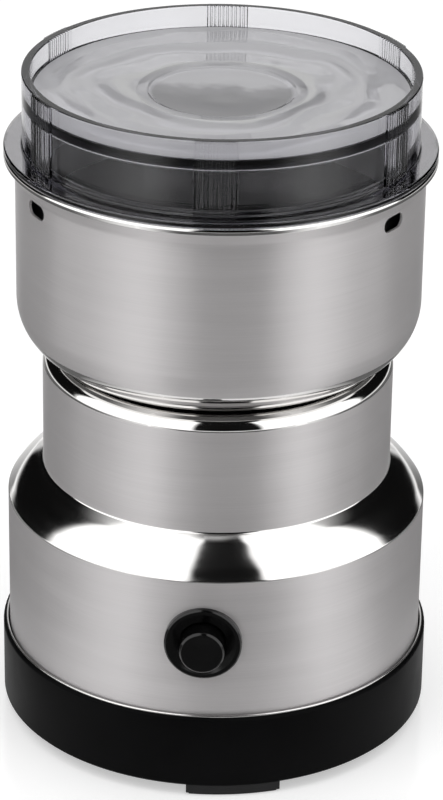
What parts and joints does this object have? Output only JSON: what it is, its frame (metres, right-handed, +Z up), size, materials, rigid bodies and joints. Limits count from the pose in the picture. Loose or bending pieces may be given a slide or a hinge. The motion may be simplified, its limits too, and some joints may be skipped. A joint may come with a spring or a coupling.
{
  "type": "electric spice grinder",
  "caption": "Upright electric grinder: fixed steel grinding cup with a bladed rotor on a waisted steel motor housing, clear lid, black base and a front push button.",
  "frame": {"origin": "on the floor under the axis of the housing, which is also the middle of the object's bottom", "axes": "+Z up along the rotor's axis, -Y towards the push button, +Y towards the cord outlet"},
  "size_m": [0.1048, 0.1126, 0.1649],
  "materials": {
    "black_plastic": "satin moulded black",
    "foot_rubber": "matt moulded rubber",
    "gland_rubber": "matt moulded rubber",
    "plated_screw": "zinc plated",
    "housing_steel": "brushed round the axis, polished shoulder and crown",
    "cup_steel": "brushed round the axis",
    "bowl_steel": "polished drawn steel",
    "support_plastic": "moulded",
    "seal_plastic": "satin moulded",
    "smoked_plastic": "clear, smoked grey, polished",
    "button_plastic": "satin black",
    "switch_plastic": "moulded",
    "switch_housing": "moulded, ivory",
    "brass_terminal": "bright stamped",
    "spring_steel": "drawn wire",
    "die_cast_alloy": "as cast",
    "bracket_plastic": "glass filled, matt",
    "bearing_bronze": "sintered, oiled",
    "isolator_rubber": "soft moulded",
    "lamination_steel": "stacked sheet",
    "enamelled_copper": "enamelled wire",
    "carbon": "pressed carbon",
    "capacitor_case": "moulded box",
    "shaft_steel": "ground",
    "commutator_copper": "turned",
    "blade_steel": "stamped, ground edges"
  },
  "bodies": {
    "housing": {"base_tray": "black_plastic", "foot_front": "foot_rubber", "foot_left": "foot_rubber", "foot_right": "foot_rubber", "base_screws": "plated_screw", "cord_gland": "gland_rubber", "motor_housing": "housing_steel", "cup_shell": "cup_steel", "grinding_bowl": "bowl_steel", "bowl_support": "support_plastic", "shaft_seal": "seal_plastic", "switch_bezel": "button_plastic", "switch_nut": "switch_plastic", "switch_body": "switch_housing", "switch_terminals": "brass_terminal", "button_spring": "spring_steel", "upper_bracket": "die_cast_alloy", "lower_bracket": "bracket_plastic", "upper_bearing": "bearing_bronze", "lower_bearing": "bearing_bronze", "bracket_screws": "plated_screw", "motor_screws": "plated_screw", "motor_isolators": "isolator_rubber", "field_core": "lamination_steel", "field_coil_front": "enamelled_copper", "field_coil_back": "enamelled_copper", "brush_holder_front": "brass_terminal", "brush_holder_back": "brass_terminal", "carbon_brush_front": "carbon", "carbon_brush_back": "carbon", "brush_spring_front": "spring_steel", "brush_spring_back": "spring_steel", "suppression_capacitor": "capacitor_case"},
    "lid": {"lid": "smoked_plastic"},
    "button": {"button_cap": "button_plastic", "button_stem": "switch_housing"},
    "rotor": {"shaft": "shaft_steel", "armature_core": "lamination_steel", "armature_winding": "enamelled_copper", "commutator": "commutator_copper", "cooling_fan": "bracket_plastic", "blade_spacer": "shaft_steel", "blade": "blade_steel", "blade_nut": "shaft_steel"}
  },
  "joints": [
    {"name": "lid_lift", "type": "slide", "parent": "housing", "child": "lid", "axis": [0, 0, 1], "range_m": [0, 0.06]},
    {"name": "button_press", "type": "slide", "parent": "housing", "child": "button", "axis": [0, 1, 0], "range_m": [0, 0.003], "stiffness_N_per_m": 900, "springref_m": -0.002, "deforming": ["button_spring"]},
    {"name": "rotor_spin", "type": "hinge", "parent": "housing", "child": "rotor", "pos_m": [0, 0, 0.055], "axis": [0, 0, 1], "continuous": true}
  ]
}
